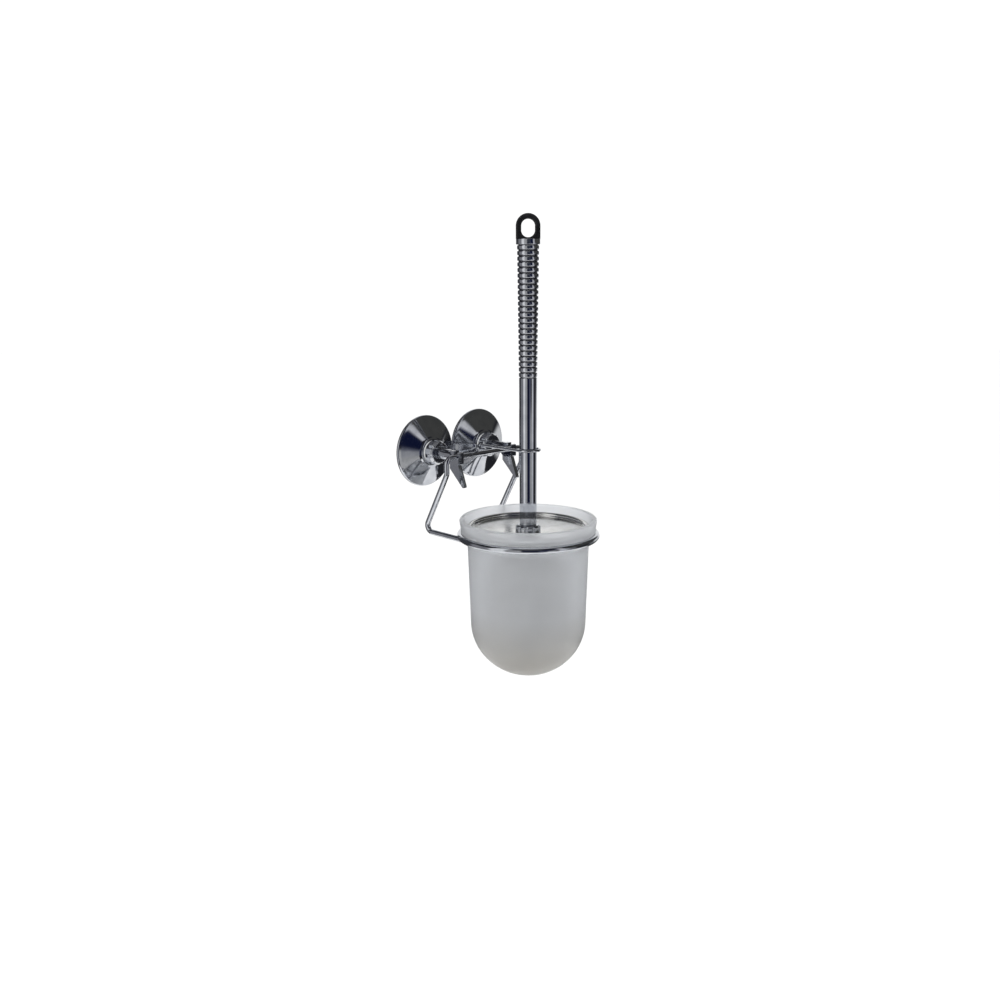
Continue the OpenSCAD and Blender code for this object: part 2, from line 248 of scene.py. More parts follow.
def surface(name: str, points: np.ndarray, wrap_u: bool = False, wrap_v: bool = True,
            marks: dict[str, np.ndarray] | None = None) -> bpy.types.Object:
    """Mesh of a two-parameter grid of points.

    Args:
        name: the piece's name.
        points: grid of shape (u, v, 3), or (copies, u, v, 3) for one shape made many times.
        wrap_u: whether the last row joins the first.
        wrap_v: whether the last column joins the first.
        marks: named values, one per grid point, kept on the mesh for its material.

    Returns:
        The object, with its normals pointing outwards.
    """
    grids = points if points.ndim == 4 else points[None]
    copies, nu, nv = grids.shape[:3]
    index = np.arange(nu * nv).reshape(nu, nv)
    index = np.vstack([index, index[:1]]) if wrap_u else index
    index = np.hstack([index, index[:, :1]]) if wrap_v else index
    quad = np.stack([index[:-1, :-1], index[1:, :-1], index[1:, 1:], index[:-1, 1:]], -1).reshape(-1, 4)
    quads = (quad[None] + (np.arange(copies) * nu * nv)[:, None, None]).reshape(-1, 4)
    mesh = bpy.data.meshes.new(name)
    mesh.from_pydata(grids.reshape(-1, 3).tolist(), [], quads.tolist())
    for mark, values in (marks or {}).items():
        colour = values.ndim == points.ndim
        kept = mesh.attributes.new(mark, "FLOAT_VECTOR" if colour else "FLOAT", "POINT")
        flat = np.ascontiguousarray(values, np.float32).ravel()
        kept.data.foreach_set("vector" if colour else "value", flat)
    return finished_object(name, mesh)


def finished_object(name: str, mesh: bpy.types.Mesh, sharp_deg: float = 38.0) -> bpy.types.Object:
    """Merges a mesh's doubles, turns its faces outwards, shades it smooth and puts it in the scene.

    Args:
        name: the piece's name.
        mesh: its mesh.
        sharp_deg: edges bent by more than this stay sharp.

    Returns:
        The object.
    """
    work = bmesh.new()
    work.from_mesh(mesh)
    bmesh.ops.remove_doubles(work, verts=work.verts, dist=MERGE)
    bmesh.ops.recalc_face_normals(work, faces=work.faces)
    work.to_mesh(mesh)
    work.free()
    mesh.polygons.foreach_set("use_smooth", np.ones(len(mesh.polygons), bool))
    mesh.set_sharp_from_angle(angle=math.radians(sharp_deg))
    mesh.update()
    piece = bpy.data.objects.new(name, mesh)
    bpy.context.scene.collection.objects.link(piece)
    return piece


def softened(name: str, node: str, bevel: float) -> bpy.types.Object:
    """Copy of a CAD node with merged vertices, clean flat faces and small rounded edges.

    Args:
        name: the new piece's name.
        node: the CAD node to copy.
        bevel: width of the rounding.

    Returns:
        The new piece.
    """
    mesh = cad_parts[node].data.copy()
    mesh.name = name
    mesh.materials.clear()
    work = bmesh.new()
    work.from_mesh(mesh)
    bmesh.ops.remove_doubles(work, verts=work.verts, dist=MERGE)
    flat = math.radians(0.5)
    bmesh.ops.dissolve_limit(work, angle_limit=flat, verts=work.verts, edges=work.edges)
    work.to_mesh(mesh)
    work.free()
    piece = finished_object(name, mesh, sharp_deg=60.0)
    rounding = piece.modifiers.new("rounding", "BEVEL")
    rounding.width = bevel
    rounding.segments = 3
    rounding.limit_method = "ANGLE"
    rounding.angle_limit = math.radians(32)
    rounding.use_clamp_overlap = True
    rounding.harden_normals = True
    return piece


# ---- materials ----

def linear(hex_colour: str) -> tuple[float, float, float, float]:
    """Linear colour of an sRGB hex value such as #a0b0c0."""
    parts = [int(hex_colour[i:i + 2], 16) / 255 for i in (1, 3, 5)]
    low = [c / 12.92 if c <= 0.04045 else ((c + 0.055) / 1.055) ** 2.4 for c in parts]
    return low[0], low[1], low[2], 1.0


def per_metre(size_mm: float) -> float:
    """Scale of a noise whose features are about this many millimetres across."""
    return 1.0 / (size_mm * MM)


def add(tree: bpy.types.NodeTree, kind: str, values: dict | None = None,
        links: dict[str | int, Link] | None = None) -> bpy.types.Node:
    """Adds a node, sets its properties and sockets, and links its inputs.

    Args:
        tree: the material's node tree.
        kind: the node's type.
        values: properties by name, or input sockets by name or number.
        links: input sockets by name or number, with the node and output that feed them.

    Returns:
        The new node.
    """
    node = tree.nodes.new(kind)
    for key, value in (values or {}).items():
        if isinstance(key, str) and hasattr(node, key):
            setattr(node, key, value)
        else:
            node.inputs[key].default_value = value
    for key, (source, output) in (links or {}).items():
        tree.links.new(source.outputs[output], node.inputs[key])
    return node


class Marks(Enum):
    """Direction of the fine marks that polishing leaves."""

    BUFFED = "no direction"
    SPUN = "rings round the axis"
    DRAWN = "stripes along the upright axis"


@dataclass(frozen=True)
class Finish:
    """A finish: its material's name and the base values that are the same all over."""

    name: str
    colour: str
    roughness: float

    def material(self) -> bpy.types.Material:
        """Makes the material, once for each name."""
        made = bpy.data.materials.get(self.name)
        if made is not None:
            return made
        made = bpy.data.materials.new(self.name)
        made.use_nodes = True
        made.diffuse_color = linear(self.colour)
        tree = made.node_tree
        tree.nodes.clear()
        shader = add(tree, "ShaderNodeBsdfPrincipled", {"Base Color": linear(self.colour),
                                                        "Roughness": self.roughness})
        add(tree, "ShaderNodeOutputMaterial", links={"Surface": (shader, "BSDF")})
        place = add(tree, "ShaderNodeTexCoord")
        self.shade(tree, shader, (place, "Object"))
        return made

    def shade(self, tree: bpy.types.NodeTree, shader: bpy.types.Node, place: Link) -> None:
        """Adds what this finish has beyond a plain colour.

        Args:
            tree: the material's node tree.
            shader: the material's shader.
            place: the Object coordinates.
        """

    def vary(self, tree: bpy.types.NodeTree, shader: bpy.types.Node, place: Link, size_mm: float,
             dark: str, low: float, high: float, detail: float = 3.0) -> bpy.types.Node:
        """Patches of a second colour and of a second roughness, with features of one real size.

        Args:
            tree: the material's node tree.
            shader: the material's shader.
            place: the coordinates.
            size_mm: size of the patches.
            dark: colour of the patches.
            low: roughness where there are none.
            high: roughness in the patches.
            detail: octaves of the noise.

        Returns:
            The noise node.
        """
        noise = add(tree, "ShaderNodeTexNoise", {"Scale": per_metre(size_mm), "Detail": detail},
                    {"Vector": place})
        spread = add(tree, "ShaderNodeMapRange", {"From Min": 0.35, "From Max": 0.65},
                     {"Value": (noise, "Fac")})
        tint = add(tree, "ShaderNodeMix", {"data_type": "RGBA", 6: linear(self.colour), 7: linear(dark)},
                   {0: (spread, "Result")})
        rough = add(tree, "ShaderNodeMapRange", {"To Min": low, "To Max": high},
                    {"Value": (spread, "Result")})
        tree.links.new(tint.outputs[2], shader.inputs["Base Color"])
        tree.links.new(rough.outputs["Result"], shader.inputs["Roughness"])
        return noise

    def relief(self, tree: bpy.types.NodeTree, shader: bpy.types.Node, height: Link, depth_mm: float,
               strength: float) -> None:
        """Bump of a real depth from a height between zero and one.

        Args:
            tree: the material's node tree.
            shader: the material's shader.
            height: the height.
            depth_mm: the real depth.
            strength: the bump's strength.
        """
        bump = add(tree, "ShaderNodeBump", {"Strength": strength, "Distance": depth_mm * MM},
                   {"Height": height})
        tree.links.new(bump.outputs["Normal"], shader.inputs["Normal"])


@dataclass(frozen=True)
class Chrome(Finish):
    """Decorative chrome plate: a bluish mirror, with haze where it was wiped and fine buffing marks."""

    haze: float = 0.12
    tint: str = "#b9bcc2"
    marks: Marks = Marks.BUFFED
    centre: tuple[float, float, float] = (0.0, 0.0, 0.0)
    flat: tuple[float, float, float] = (1.0, 0.0, 1.0)
    mark_mm: float = 0.45      # real marks are under 0.1 mm; drawn coarser so that they show

    def shade(self, tree: bpy.types.NodeTree, shader: bpy.types.Node, place: Link) -> None:
        """Mirror metal, wiped haze of a few millimetres, and the marks."""
        shader.inputs["Metallic"].default_value = 1.0
        self.vary(tree, shader, place, 9.0, self.tint, self.roughness, self.haze)
        moved = add(tree, "ShaderNodeMapping", {"vector_type": "TEXTURE", "Location": self.centre},
                    {"Vector": place})
        if self.marks is Marks.SPUN:
            plane = add(tree, "ShaderNodeVectorMath", {"operation": "MULTIPLY", 1: self.flat},
                        {0: (moved, "Vector")})
            radius = add(tree, "ShaderNodeVectorMath", {"operation": "LENGTH"}, {0: (plane, "Vector")})
            fine = add(tree, "ShaderNodeTexNoise", {"noise_dimensions": "1D", "Detail": 2.0,
                                                    "Scale": per_metre(self.mark_mm)},
                       {"W": (radius, "Value")})
        else:
            stretch = (1.0, 1.0, 0.04) if self.marks is Marks.DRAWN else (1.0, 1.0, 1.0)
            drawn = add(tree, "ShaderNodeVectorMath", {"operation": "MULTIPLY", 1: stretch},
                        {0: (moved, "Vector")})
            fine = add(tree, "ShaderNodeTexNoise", {"Detail": 2.0, "Scale": per_metre(self.mark_mm)},
                       {"Vector": (drawn, "Vector")})
        self.relief(tree, shader, (fine, "Fac"), 0.01, 0.25)


@dataclass(frozen=True)
class Plate(Finish):
    """Zinc plate on steel: a dull metal with cloudy passivation and a fine tooth."""

    def shade(self, tree: bpy.types.NodeTree, shader: bpy.types.Node, place: Link) -> None:
        """Cloudy metal."""
        shader.inputs["Metallic"].default_value = 1.0
        noise = self.vary(tree, shader, place, 1.6, "#8d8a74", self.roughness, self.roughness + 0.15)
        self.relief(tree, shader, (noise, "Fac"), 0.02, 0.3)


@dataclass(frozen=True)
class Moulded(Finish):
    """Moulded plastic: one colour with a faint flow, and the fine grain of its mould."""

    ior: float = 1.5
    flow: str = "#e0e0dc"
    grain_mm: float = 0.5
    grain: float = 0.25
    clear: float = 0.0
    glow: float = 0.0

    def shade(self, tree: bpy.types.NodeTree, shader: bpy.types.Node, place: Link) -> None:
        """Plastic with its mould's grain; clear plastic lets light through, milky plastic scatters it."""
        shader.inputs["IOR"].default_value = self.ior
        shader.inputs["Transmission Weight"].default_value = self.clear
        shader.inputs["Subsurface Weight"].default_value = self.glow
        shader.inputs["Subsurface Scale"].default_value = 1.5 * MM
        self.vary(tree, shader, place, 6.0, self.flow, self.roughness, self.roughness + 0.08)
        fine = add(tree, "ShaderNodeTexNoise", {"Scale": per_metre(self.grain_mm), "Detail": 3.0},
                   {"Vector": place})
        self.relief(tree, shader, (fine, "Fac"), 0.03, self.grain)


@dataclass(frozen=True)
class RibbedChrome(Finish):
    """Chrome-plated ABS grip: bright ribs, with painted shade and rougher metal down in the grooves."""

    # colour of the painted shade down in the grooves
    groove: str = "#6a6b70"
    dull: float = 0.34          # roughness down in the grooves
    uneven: float = 0.12        # how far the edge of the painted groove shade wanders

    def shade(self, tree: bpy.types.NodeTree, shader: bpy.types.Node, place: Link) -> None:
        """Mixes towards the painted groove shade by the groove mark on the mesh, roughened by small noise."""
        shader.inputs["Metallic"].default_value = 1.0
        depth = add(tree, "ShaderNodeAttribute", {"attribute_name": "groove"})
        noise = add(tree, "ShaderNodeTexNoise", {"Scale": per_metre(2.5), "Detail": 3.0}, {"Vector": place})
        shifted = add(tree, "ShaderNodeMapRange", {"To Min": -self.uneven, "To Max": self.uneven},
                      {"Value": (noise, "Fac")})
        level = add(tree, "ShaderNodeMath", {"operation": "ADD", "use_clamp": True},
                    {0: (depth, "Fac"), 1: (shifted, "Result")})
        tint = add(tree, "ShaderNodeMix", {"data_type": "RGBA", 6: linear(self.colour),
                                           7: linear(self.groove)}, {0: (level, "Value")})
        rough = add(tree, "ShaderNodeMapRange", {"To Min": self.roughness, "To Max": self.dull},
                    {"Value": (level, "Value")})
        tree.links.new(tint.outputs[2], shader.inputs["Base Color"])
        tree.links.new(rough.outputs["Result"], shader.inputs["Roughness"])
        fine = add(tree, "ShaderNodeTexNoise", {"Scale": per_metre(0.6), "Detail": 2.0}, {"Vector": place})
        self.relief(tree, shader, (fine, "Fac"), 0.02, 0.3)


@dataclass(frozen=True)
class FrostedGlass(Finish):
    """Acid-etched soda-lime glass: it blurs what stands behind it and has a silky, pitted skin."""

    ior: float = 1.52
    clear: float = 0.80         # the rest of the light is scattered by the etched skin
    cloudy: float = 0.04        # how much the etching's roughness varies
    low: str = "#b9b5ac"
    top_z: float = 0.0
    depth: float = 0.12

    def shade(self, tree: bpy.types.NodeTree, shader: bpy.types.Node, place: Link) -> None:
        """Rough milky glass that turns a little darker and warmer towards its bottom."""
        shader.inputs["IOR"].default_value = self.ior
        shader.inputs["Transmission Weight"].default_value = self.clear
        split = add(tree, "ShaderNodeSeparateXYZ", links={"Vector": place})
        fall = add(tree, "ShaderNodeMapRange",
                   {"From Min": self.top_z - 0.55 * self.depth, "From Max": self.top_z - self.depth},
                   {"Value": (split, "Z")})
        tint = add(tree, "ShaderNodeMix", {"data_type": "RGBA", 6: linear(self.colour), 7: linear(self.low)},
                   {0: (fall, "Result")})
        tree.links.new(tint.outputs[2], shader.inputs["Base Color"])
        cloud = add(tree, "ShaderNodeTexNoise", {"Scale": per_metre(14.0), "Detail": 3.0}, {"Vector": place})
        rough = add(tree, "ShaderNodeMapRange",
                    {"To Min": self.roughness - self.cloudy, "To Max": self.roughness + self.cloudy},
                    {"Value": (cloud, "Fac")})
        tree.links.new(rough.outputs["Result"], shader.inputs["Roughness"])
        pits = add(tree, "ShaderNodeTexNoise", {"Scale": per_metre(0.7), "Detail": 2.0}, {"Vector": place})
        self.relief(tree, shader, (pits, "Fac"), 0.02, 0.35)


@dataclass(frozen=True)
class Filament(Finish):
    """Nylon filaments: milky threads that differ a little from one to the next."""

    shadow: str = "#74767a"

    def shade(self, tree: bpy.types.NodeTree, shader: bpy.types.Node, place: Link) -> None:
        """Colour by the tone mark of tuft and filament, with a drawn thread's faint streaks."""
        tone = add(tree, "ShaderNodeAttribute", {"attribute_name": "tone"})
        streak = add(tree, "ShaderNodeTexNoise", {"Scale": per_metre(1.2), "Detail": 2.0}, {"Vector": place})
        level = add(tree, "ShaderNodeMath", {"operation": "MULTIPLY"},
                    {0: (tone, "Fac"), 1: (streak, "Fac")})
        tint = add(tree, "ShaderNodeMix", {"data_type": "RGBA", 6: linear(self.colour),
                                           7: linear(self.shadow)}, {0: (level, "Value")})
        tree.links.new(tint.outputs[2], shader.inputs["Base Color"])


WIRE_CHROME = Chrome("chrome_plated_steel_wire", "#c9cbd0", 0.05, haze=0.10)
TUBE_CHROME = Chrome("chrome_plated_steel_tube", "#c9cbd0", 0.04, haze=0.08, marks=Marks.DRAWN)
CAST_CHROME = Chrome("chrome_plated_zinc_casting", "#c4c6ca", 0.07, haze=0.16)
ETCHED_GLASS = FrostedGlass("acid_etched_soda_lime_glass", "#eef0f3", 0.35)
BLACK_ABS = Moulded("gloss_black_abs", "#0b0b0c", 0.22, ior=1.54, flow="#141416", grain=0.15)
PLATED_GRIP = RibbedChrome("chrome_plated_abs", "#c6c8cd", 0.12)
CLEAR_PVC = Moulded("clear_soft_pvc", "#e9eef2", 0.16, ior=1.53, flow="#dfe7ee", clear=0.92, grain=0.15)
WHITE_NYLON = Moulded("white_nylon", "#e6e6e1", 0.42, ior=1.53, flow="#dadad2", glow=0.1)
WHITE_PP = Moulded("white_polypropylene", "#ececea", 0.38, ior=1.49, flow="#dededb", glow=0.1)
ZINC = Plate("zinc_plated_steel", "#b4b4ae", 0.28)
NYLON = Filament("nylon_filament", "#f8f8f7", 0.42)


def dress(piece: bpy.types.Object, finish: Finish, body: str, slot: str, *nodes: str) -> bpy.types.Object:
    """Gives a new piece its finish and its body, and hides the CAD nodes that it stands for.

    Args:
        piece: the piece.
        finish: its finish.
        body: the body it moves with.
        slot: the record's material slot; not used.
        nodes: CAD nodes that it replaces.

    Returns:
        The piece.
    """
    piece.data.materials.clear()
    piece.data.materials.append(finish.material())
    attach(piece, body)
    if nodes:
        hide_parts(*nodes)
    LOG.info("%s: %d faces on %s", piece.name, len(piece.data.polygons), body)
    return piece


def dress_node(node: str, finish: Finish) -> None:
    """Gives a CAD node that stays as it is a finish."""
    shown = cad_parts[node]
    shown.data.materials.clear()
    shown.data.materials.append(finish.material())
    LOG.info("%s: kept, %s", node, finish.name)


def notched(count: int, rim: float, centre: float, size: float, start: float, shift: float) -> Cut:
    """Cutting function for round notches in the side of a turned piece.

    A ray at angle d from a notch's middle meets the notch at c cos d - sqrt(s s - c c sin d sin d),
    where c is the notch's distance from the axis and s its radius.

    Args:
        count: number of notches.
        rim: radius past which a point lies on the notched side.
        centre: distance of the notches from the axis.
        size: radius of a notch.
        start: height at which the notches begin.
        shift: angle of the first notch.

    Returns:
        A function of (radius, height, angle) for turned().
    """
    pitch = 2 * math.pi / count

    def cut(radius: np.ndarray, height: np.ndarray, angle: np.ndarray) -> np.ndarray:
        """Radius left after the notches are cut."""
        off = (angle - shift + pitch / 2) % pitch - pitch / 2
        inside = np.maximum(size ** 2 - (centre * np.sin(off)) ** 2, 0.0)
        floor = np.where(inside > 0, centre * np.cos(off) - np.sqrt(inside), np.inf)
        return np.where((height >= start) & (radius > rim), np.minimum(radius, floor), radius)

    return cut


# ---- sub-assemblies ----

class Side(Enum):
    """Which of the two suction hooks, as seen from the room."""

    LEFT = -1
    RIGHT = 1


@dataclass
class SuctionHook:
    """A suction hook: soft cup, pressed cover, washer, tension nut and cast hook on one axis."""

    side: Side
    sheet: float = 1.2 * MM
    flange: float = 2.0 * MM
    cone_top_r: float = 12.2 * MM
    seat_r: float = 11.0 * MM
    bore_r: float = 3.3 * MM
    dish_r: float = 19.5 * MM
    dish_deep: float = 3.2 * MM
    notches: int = 8
    notch_r: float = 1.9 * MM

    def __post_init__(self) -> None:
        """Takes the axis and the driving sizes from the frame."""
        self.tag = self.side.name.lower()
        low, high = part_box(f"bell_cover_{self.tag}")
        self.x = (low.x + high.x) / 2
        self.axis = wall_axis(self.x)
        self.cover_r = (high.x - low.x) / 2
        self.seat_out = -low.y
        self.cover_in = -high.y

    def cover(self) -> bpy.types.Object:
        """Bell cover: rolled edge, flange, long cone and flat seat, from one sheet."""
        r, t, seat = self.cover_r, self.sheet, self.seat_out
        outline = np.array([
            [r, self.cover_in], [r, 2.6 * MM], [r - 0.5 * MM, 3.2 * MM], [r - self.flange, 3.8 * MM],
            [self.cone_top_r, seat - 1.2 * MM], [self.seat_r, seat - 0.3 * MM],
            [self.seat_r - 0.9 * MM, seat], [self.bore_r, seat],
            [self.bore_r, seat - t], [self.seat_r - 1.4 * MM, seat - t],
            [self.cone_top_r - 0.8 * MM, seat - 1.2 * MM - t], [r - self.flange - 0.6 * MM, 2.4 * MM],
            [r - t, 1.8 * MM], [r - t, self.cover_in]])
        shape = turned(self.axis, fillet(outline, 0.8 * MM, closed=True), 160)
        piece = surface(f"bell_cover_shell_{self.tag}", shape, wrap_u=True)
        finish = Chrome(f"spun_chrome_cover_{self.tag}", "#c9cbd0", 0.05, haze=0.11, marks=Marks.SPUN,
                        centre=(self.x, 0.0, 0.0))
        return dress(piece, finish, "wall_hooks", "chromed_steel_sheet", f"bell_cover_{self.tag}")

    def soft_cup(self) -> bpy.types.Object:
        """Soft cup: sealing lip with two fine rings, shallow dish and a boss for the stud."""
        low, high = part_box(f"suction_cup_{self.tag}")
        lip, boss = (high.x - low.x) / 2, -low.y
        s = np.linspace(0, 1, 24)
        dish = np.stack([self.dish_r * s, self.dish_deep * (1 - s ** 2)], -1)
        ring_r = np.linspace(self.dish_r, lip - 0.3 * MM, 60)[1:]
        rings = 0.14 * MM * np.sin((ring_r - self.dish_r) / (lip - self.dish_r) * 4 * math.pi) ** 2
        back = np.array([[lip, 0.3 * MM], [lip, 0.8 * MM], [self.cover_r - 2.8 * MM, 1.3 * MM],
                         [9 * MM, boss - 1.6 * MM], [8 * MM, boss], [0.0, boss]])
        outline = np.vstack([dish, np.stack([ring_r, rings], -1), fillet(back, 0.6 * MM)])
        piece = surface(f"suction_cup_soft_{self.tag}", turned(self.axis, outline, 128))
        return dress(piece, CLEAR_PVC, "wall_hooks", "clear_pvc", f"suction_cup_{self.tag}")

    def nut(self) -> bpy.types.Object:
        """Tension nut: a turned body with round finger notches that start just above its foot."""
        low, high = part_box(f"tension_nut_{self.tag}")
        r, foot, top = (high.x - low.x) / 2, -high.y, -low.y
        outline = np.array([[self.bore_r - 0.2 * MM, foot], [r - 0.8 * MM, foot], [r, foot + 0.8 * MM],
                            [r, foot + 1.6 * MM], [r, foot + 1.8 * MM], [r, top - 2 * MM],
                            [r - 1.6 * MM, top], [self.bore_r - 0.2 * MM, top]])
        sides = fillet(outline, 0.5 * MM, closed=True)
        cut = notched(self.notches, r - 2 * MM, r + 0.9 * MM, self.notch_r, foot + 1.6 * MM,
                      math.radians(11))
        piece = surface(f"tension_nut_knob_{self.tag}", turned(self.axis, sides, 320, cut), wrap_u=True)
        return dress(piece, CAST_CHROME, f"nut_{self.tag}", "chromed_zinc_casting",
                     f"tension_nut_{self.tag}")

    def build(self) -> None:
        """Builds and dresses every piece of the hook."""
        self.soft_cup()
        self.cover()
        self.nut()
        hook = softened(f"hook_casting_{self.tag}", f"hook_{self.tag}", 0.45 * MM)
        dress(hook, CAST_CHROME, "wall_hooks", "chromed_zinc_casting", f"hook_{self.tag}")
        dress_node(f"washer_{self.tag}", WHITE_NYLON)
        dress_node(f"stud_{self.tag}", ZINC)


@dataclass
class WireFrame:
    """The welded wire frame: hanger wire, carrier ring, handle guide and their weld beads."""

    bar_out: float = 41.6 * MM
    bar_half: float = 40.4 * MM
    leg_top: float = 12.4 * MM
    foot: tuple[float, float, float] = (40.2 * MM, -14.2 * MM, -61.0 * MM)
    arm_in: float = 0.8 * MM
    arm_reach: float = 33.4 * MM
    arm_under: float = 3.2 * MM
    bend: float = 5.0 * MM
    guide_bend: float = 4.0 * MM
    guide_end: float = 4.0 * MM
    guide_wire: float = 1.0 * MM

    def __post_init__(self) -> None:
        """Takes the ring, the guide and the wire sizes from the frame."""
        low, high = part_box("carrier_ring")
        self.ring_wire = (high.z - low.z) / 2
        self.ring_r = (high.x - low.x) / 2 - self.ring_wire
        self.ring_y = (low.y + high.y) / 2
        self.ring_z = (low.z + high.z) / 2
        low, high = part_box("hanger_wire")
        self.wire = high.x - self.bar_half
        self.bar_z = high.z - self.wire
        low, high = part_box("handle_guide")
        self.guide_z = high.z - self.guide_wire

    def guide_radius(self) -> float:
        """Radius of the guide's hook, to the middle of its wire."""
        low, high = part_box("handle_guide")
        return (high.x - low.x) / 2 - self.guide_wire

    def arm_end(self) -> np.ndarray:
        """Right end of the wire, welded under the ring."""
        return np.array([self.foot[0] - self.arm_in, self.ring_y + self.arm_reach,
                         self.ring_z - self.arm_under])

    def hanger(self) -> bpy.types.Object:
        """One wire from arm to arm, over both legs and the cross bar."""
        right = np.array([[self.bar_half, -self.bar_out, self.bar_z],
                          [self.bar_half, -self.bar_out, self.bar_z - self.leg_top],
                          self.foot, self.arm_end()])
        corners = np.vstack([(right * [-1, 1, 1])[::-1], right])
        path, radii = capped(bent_path(corners, self.bend), self.wire, 0.5 * MM)
        piece = surface("hanger_wire_bent", swept(path, radii))
        return dress(piece, WIRE_CHROME, "frame", "chromed_wire", "hanger_wire")

    def ring(self) -> bpy.types.Object:
        """Carrier ring: a circle of wire."""
        a = np.linspace(0, 2 * math.pi, 200, endpoint=False)
        path = np.stack([self.ring_r * np.cos(a), self.ring_y + self.ring_r * np.sin(a),
                         np.full_like(a, self.ring_z)], -1)
        grid = swept(path, np.full(len(path), self.ring_wire), closed=True)
        piece = surface("carrier_ring_wire", grid, wrap_u=True)
        return dress(piece, WIRE_CHROME, "frame", "chromed_wire", "carrier_ring")

    def guide(self) -> bpy.types.Object:
        """Handle guide: up from the bar, forward, and round the front of the handle."""
        r = self.guide_radius()
        stem = bent_path(np.array([[-r, -self.bar_out, self.bar_z], [-r, -self.bar_out, self.guide_z],
                                   [-r, self.ring_y, self.guide_z]]), self.guide_bend)
        a = np.linspace(math.pi, 2 * math.pi, 60)[1:]
        hook = np.stack([r * np.cos(a), self.ring_y + r * np.sin(a), np.full_like(a, self.guide_z)], -1)
        end = np.array([[r, self.ring_y + self.guide_end, self.guide_z]])
        path, radii = capped(np.vstack([stem, hook, end]), self.guide_wire, 0.9 * self.guide_wire)
        piece = surface("handle_guide_wire", swept(path, radii, 20))
        return dress(piece, WIRE_CHROME, "frame", "chromed_wire", "handle_guide")

    def bead(self, name: str, centre: np.ndarray, size: np.ndarray) -> bpy.types.Object:
        """Weld bead: an ellipsoid of radius size (1 + 0.1 sin 5u sin 3v sin v).

        Args:
            name: the bead's name.
            centre: its middle.
            size: its three half sizes.

        Returns:
            The bead.
        """
        v, u = np.meshgrid(np.linspace(0, math.pi, 18), np.linspace(0, 2 * math.pi, 32, endpoint=False),
                           indexing="ij")
        ripple = 1 + 0.1 * np.sin(5 * u) * np.sin(3 * v) * np.sin(v)
        ball = np.stack([np.sin(v) * np.cos(u), np.sin(v) * np.sin(u), np.cos(v)], -1)
        piece = surface(name, centre + ball * size * ripple[..., None])
        return dress(piece, CAST_CHROME, "frame", "chromed_wire")

    def build(self) -> None:
        """Builds the wires and the beads where they are welded."""
        self.hanger()
        self.ring()
        self.guide()
        joint = self.arm_end() + np.array([0.0, 2.2 * MM, 1.7 * MM])
        for side in Side:
            place = joint * [side.value, 1, 1]
            self.bead(f"weld_bead_{side.name.lower()}", place, np.array([1.7, 2.6, 1.5]) * MM)
        foot = np.array([-self.guide_radius(), -self.bar_out, self.bar_z + 0.85 * self.wire])
        self.bead("weld_bead_guide", foot, np.array([1.9, 1.9, 0.9]) * MM)


@dataclass
class GlassCup:
    """The frosted glass cup: rim, collar, shoulder, tapered body and rounded bottom."""

    wall: float = 3.5 * MM
    collar: float = 9.0 * MM
    step: float = 6.1 * MM
    taper: float = 1.8 * MM
    round_h: float = 42.5 * MM
    ring_r: float = 52.0 * MM
    ring_drop: float = 13.0 * MM
    shoulder_r: float = 2.8 * MM

    def __post_init__(self) -> None:
        """Takes the cup's axis and size from the frame."""
        low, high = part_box("glass_cup")
        self.y = (low.y + high.y) / 2
        self.top = high.z
        self.height = high.z - low.z
        self.rim_r = (high.x - low.x) / 2

    def bowl(self, radius: float, depth: float, steps: int = 40) -> np.ndarray:
        """Quarter ellipse (radius sin a, -depth cos a) from the axis out to the wall."""
        a = np.linspace(0, math.pi / 2, steps + 1)
        return np.stack([radius * np.sin(a), -(self.height - self.round_h) - depth * np.cos(a)], -1)

    def outline(self) -> np.ndarray:
        """Profile from the bottom up the outside, over the rim and down the inside."""
        t, edge = self.wall, self.wall / 2
        body_r = self.rim_r - self.step
        foot_r = body_r - self.taper
        outside = np.vstack([
            self.bowl(foot_r, self.round_h),
            fillet(np.array([[foot_r, -(self.height - self.round_h)], [body_r, -21 * MM],
                             [body_r + 1 * MM, -17 * MM]]), 2 * MM)[1:],
            arc(self.ring_r, -self.ring_drop, self.shoulder_r, 185, 100),
            [[self.rim_r - 1.1 * MM, -self.collar]]])
        rim = arc(self.rim_r - edge, -edge, edge, 0, 180, 20)
        inside = np.vstack([
            [[self.rim_r - t - 0.4 * MM, -self.collar + 1 * MM]],
            arc(self.ring_r, -self.ring_drop, self.shoulder_r + t, 122, 178),
            [[body_r - t + 0.8 * MM, -19.4 * MM], [body_r - t, -22.4 * MM]],
            self.bowl(foot_r - t, self.round_h - t)[::-1]])
        return fillet(np.vstack([outside, rim, inside]), 0.8 * MM, 3)

    def build(self) -> None:
        """Builds the glass."""
        piece = surface("glass_cup_frosted", turned(upright_axis(self.y, self.top), self.outline(), 160))
        finish = replace(ETCHED_GLASS, top_z=self.top, depth=self.height)
        dress(piece, finish, "glass", "frosted_glass", "glass_cup")


